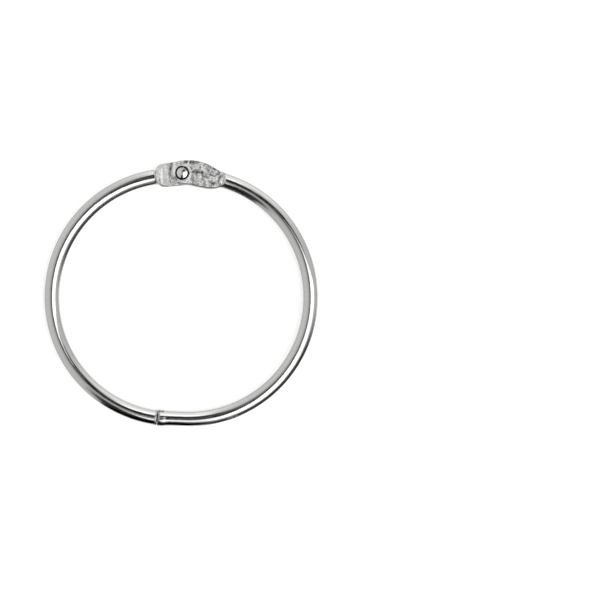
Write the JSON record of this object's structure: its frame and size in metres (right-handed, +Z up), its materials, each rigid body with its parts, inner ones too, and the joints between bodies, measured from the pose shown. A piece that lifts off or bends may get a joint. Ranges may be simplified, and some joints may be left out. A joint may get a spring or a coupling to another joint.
{
  "type": "binder ring",
  "caption": "Hinged round wire ring with a forked riveted hinge and a snap closure, for holding punched loose sheets, cards or swatches.",
  "frame": {"origin": "on the table, under the middle of the closed ring's outline", "axes": "+Z up out of the ring's plane along the hinge's rivet, +Y from the middle toward the hinge, +X toward the half with the fork and socket"},
  "size_m": [0.0574, 0.0557, 0.0038],
  "materials": {
    "plated_wire": "bright nickel plate on steel wire, matt and pitted where the hinge ends are pressed",
    "plated_rivet": "polished nickel plate"
  },
  "bodies": {
    "fork_side": {"fork_half": "plated_wire", "rivet": "plated_rivet"},
    "tongue_side": {"tongue_half": "plated_wire"}
  },
  "joints": [
    {"name": "hinge", "type": "hinge", "parent": "fork_side", "child": "tongue_side", "pos_m": [0.0003, 0.02513, 0.0019], "axis": [0, 0, -1], "range_deg": [0, 110]}
  ]
}
